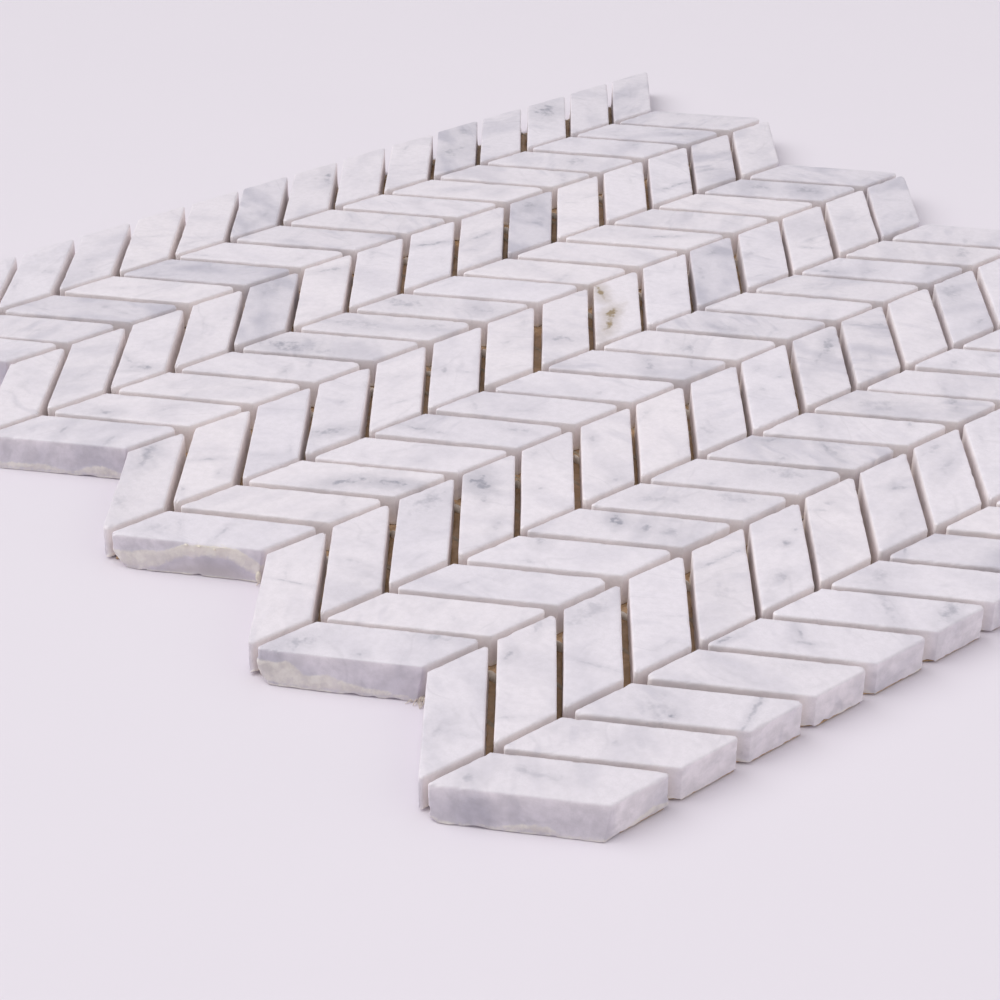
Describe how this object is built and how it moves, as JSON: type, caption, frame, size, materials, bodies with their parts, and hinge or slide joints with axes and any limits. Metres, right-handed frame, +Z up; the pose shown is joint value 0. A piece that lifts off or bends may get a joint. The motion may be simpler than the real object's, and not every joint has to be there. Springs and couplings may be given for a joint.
{
  "type": "marble chevron mosaic sheet",
  "caption": "Flat mosaic sheet of white marble chevron chips with open joints, held from behind by a fibre net, with zigzag ends that interlock with the next sheet.",
  "frame": {"origin": "middle of the underside of the backing net", "axes": "+X along the chip columns, +Y across them, +Z up out of the honed stone faces"},
  "size_m": [0.3084, 0.2984, 0.0085],
  "materials": {
    "marble": "honed",
    "net": "glue-soaked woven fibre"
  },
  "bodies": {
    "root": {"chip_column_01": "marble", "chip_column_02": "marble", "chip_column_03": "marble", "chip_column_04": "marble", "chip_column_05": "marble", "chip_column_06": "marble", "chip_column_07": "marble", "chip_column_08": "marble", "chip_column_09": "marble", "chip_column_10": "marble", "backing_net_01": "net", "backing_net_02": "net", "backing_net_03": "net", "backing_net_04": "net", "backing_net_05": "net", "backing_net_06": "net", "backing_net_07": "net", "backing_net_08": "net", "backing_net_09": "net", "backing_net_10": "net"}
  },
  "joints": []
}
